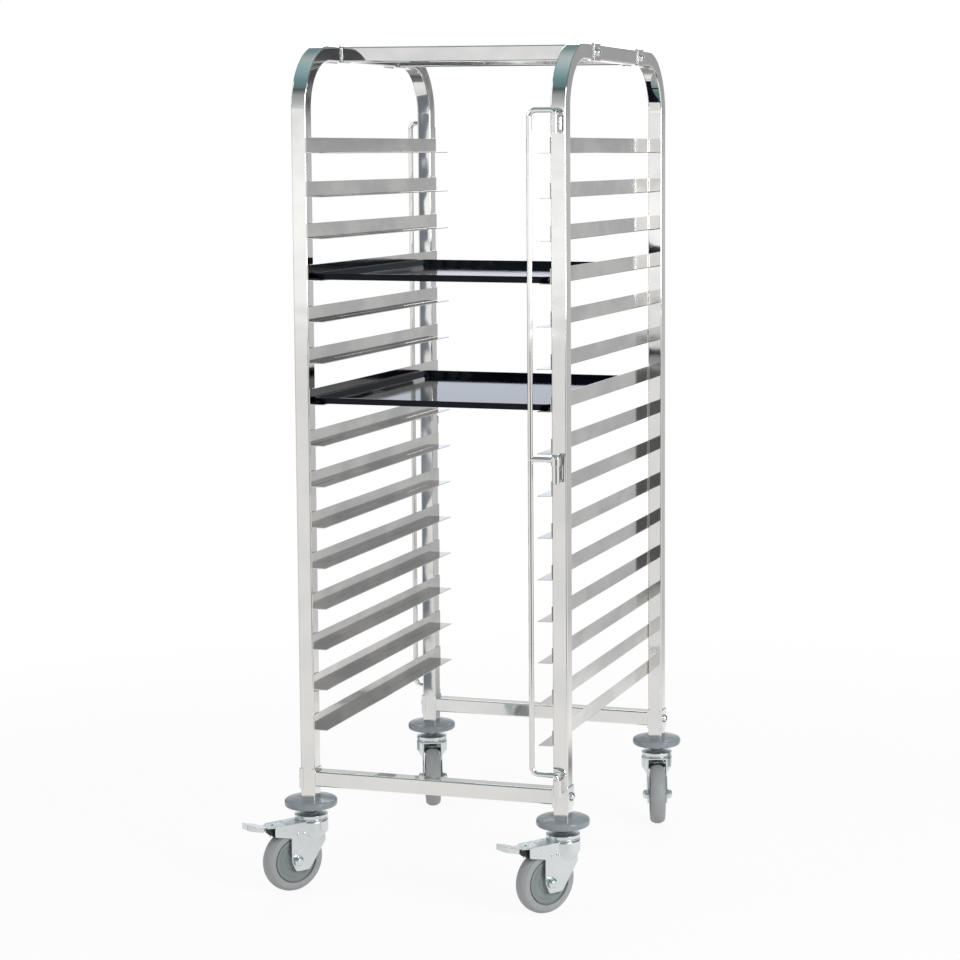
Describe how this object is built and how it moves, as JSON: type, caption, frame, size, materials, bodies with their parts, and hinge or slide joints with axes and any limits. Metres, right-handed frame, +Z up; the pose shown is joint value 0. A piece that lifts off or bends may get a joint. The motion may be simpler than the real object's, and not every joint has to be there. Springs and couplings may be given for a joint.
{
  "type": "bakery tray trolley",
  "caption": "Tall tray trolley: bent-tube side frames with welded angle runners, bolted cross rails, swinging retaining rods, sliding trays and swivel castors with bumper discs.",
  "frame": {"origin": "on the floor, midway between the four castor swivel axes", "axes": "+Z up, +Y from the side of the front retaining rod to the back, +X to the right across the trays"},
  "size_m": [0.6684, 0.8369, 1.647],
  "materials": {
    "polished_stainless": "polished",
    "satin_stainless": "satin",
    "zinc_plate": "satin",
    "bumper_grey": "satin",
    "hub_grey": "satin",
    "tyre_grey": "matte",
    "brake_black": "matte",
    "tray_black": "gloss"
  },
  "bodies": {
    "frame": {"left_side_frame": "polished_stainless", "right_side_frame": "polished_stainless", "tier_01_runners": "satin_stainless", "tier_02_runners": "satin_stainless", "tier_03_runners": "satin_stainless", "tier_04_runners": "satin_stainless", "tier_05_runners": "satin_stainless", "tier_06_runners": "satin_stainless", "tier_07_runners": "satin_stainless", "tier_08_runners": "satin_stainless", "tier_09_runners": "satin_stainless", "tier_10_runners": "satin_stainless", "tier_11_runners": "satin_stainless", "tier_12_runners": "satin_stainless", "tier_13_runners": "satin_stainless", "tier_14_runners": "satin_stainless", "tier_15_runners": "satin_stainless", "front_top_rail": "polished_stainless", "rear_top_rail": "polished_stainless", "front_bottom_rail": "polished_stainless", "rear_bottom_rail": "polished_stainless", "outer_saddles": "polished_stainless", "saddle_bolts": "polished_stainless", "front_rod_sleeves": "satin_stainless", "rear_rod_sleeves": "satin_stainless", "front_left_bumper": "bumper_grey", "front_left_stem": "zinc_plate", "front_right_bumper": "bumper_grey", "front_right_stem": "zinc_plate", "rear_left_bumper": "bumper_grey", "rear_left_stem": "zinc_plate", "rear_right_bumper": "bumper_grey", "rear_right_stem": "zinc_plate"},
    "front_left_castor": {"front_left_fork": "zinc_plate", "front_left_axle": "zinc_plate"},
    "front_left_wheel": {"front_left_hub": "hub_grey", "front_left_tyre": "tyre_grey"},
    "front_left_brake": {"front_left_pedal": "zinc_plate", "front_left_shoe": "brake_black"},
    "front_right_castor": {"front_right_fork": "zinc_plate", "front_right_axle": "zinc_plate"},
    "front_right_wheel": {"front_right_hub": "hub_grey", "front_right_tyre": "tyre_grey"},
    "front_right_brake": {"front_right_pedal": "zinc_plate", "front_right_shoe": "brake_black"},
    "rear_left_castor": {"rear_left_fork": "zinc_plate", "rear_left_axle": "zinc_plate"},
    "rear_left_wheel": {"rear_left_hub": "hub_grey", "rear_left_tyre": "tyre_grey"},
    "rear_right_castor": {"rear_right_fork": "zinc_plate", "rear_right_axle": "zinc_plate"},
    "rear_right_wheel": {"rear_right_hub": "hub_grey", "rear_right_tyre": "tyre_grey"},
    "front_rod": {"front_rod": "polished_stainless"},
    "rear_rod": {"rear_rod": "polished_stainless"},
    "upper_tray": {"upper_tray": "tray_black"},
    "lower_tray": {"lower_tray": "tray_black"}
  },
  "joints": [
    {"name": "front_left_swivel", "type": "hinge", "parent": "frame", "child": "front_left_castor", "pos_m": [-0.26, -0.33, 0.138], "axis": [0, 0, 1], "continuous": true},
    {"name": "front_left_roll", "type": "hinge", "parent": "front_left_castor", "child": "front_left_wheel", "pos_m": [-0.28527, -0.36479, 0.0625], "axis": [0.809, -0.5878, 0], "continuous": true},
    {"name": "front_left_brake_press", "type": "hinge", "parent": "front_left_castor", "child": "front_left_brake", "pos_m": [-0.30114, -0.38663, 0.1275], "axis": [0.809, -0.5878, 0], "range_deg": [0, 14]},
    {"name": "front_right_swivel", "type": "hinge", "parent": "frame", "child": "front_right_castor", "pos_m": [0.26, -0.33, 0.138], "axis": [0, 0, 1], "continuous": true},
    {"name": "front_right_roll", "type": "hinge", "parent": "front_right_castor", "child": "front_right_wheel", "pos_m": [0.23473, -0.36479, 0.0625], "axis": [0.809, -0.5878, 0], "continuous": true},
    {"name": "front_right_brake_press", "type": "hinge", "parent": "front_right_castor", "child": "front_right_brake", "pos_m": [0.21886, -0.38663, 0.1275], "axis": [0.809, -0.5878, 0], "range_deg": [0, 14]},
    {"name": "rear_left_swivel", "type": "hinge", "parent": "frame", "child": "rear_left_castor", "pos_m": [-0.26, 0.33, 0.138], "axis": [0, 0, 1], "continuous": true},
    {"name": "rear_left_roll", "type": "hinge", "parent": "rear_left_castor", "child": "rear_left_wheel", "pos_m": [-0.2432, 0.29042, 0.0625], "axis": [0.9205, 0.3907, 0], "continuous": true},
    {"name": "rear_right_swivel", "type": "hinge", "parent": "frame", "child": "rear_right_castor", "pos_m": [0.26, 0.33, 0.138], "axis": [0, 0, 1], "continuous": true},
    {"name": "rear_right_roll", "type": "hinge", "parent": "rear_right_castor", "child": "rear_right_wheel", "pos_m": [0.27329, 0.2891, 0.0625], "axis": [0.9511, 0.309, 0], "continuous": true},
    {"name": "front_rod_swing", "type": "hinge", "parent": "frame", "child": "front_rod", "pos_m": [0.26, -0.365, 0.8573], "axis": [0, 0, 1], "range_deg": [0, 180]},
    {"name": "rear_rod_swing", "type": "hinge", "parent": "frame", "child": "rear_rod", "pos_m": [-0.26, 0.365, 0.8413], "axis": [0, 0, 1], "range_deg": [-180, 0]},
    {"name": "upper_tray_slide", "type": "slide", "parent": "frame", "child": "upper_tray", "axis": [0, 1, 0], "range_m": [0, 0.65]},
    {"name": "lower_tray_slide", "type": "slide", "parent": "frame", "child": "lower_tray", "axis": [0, 1, 0], "range_m": [0, 0.65]}
  ]
}
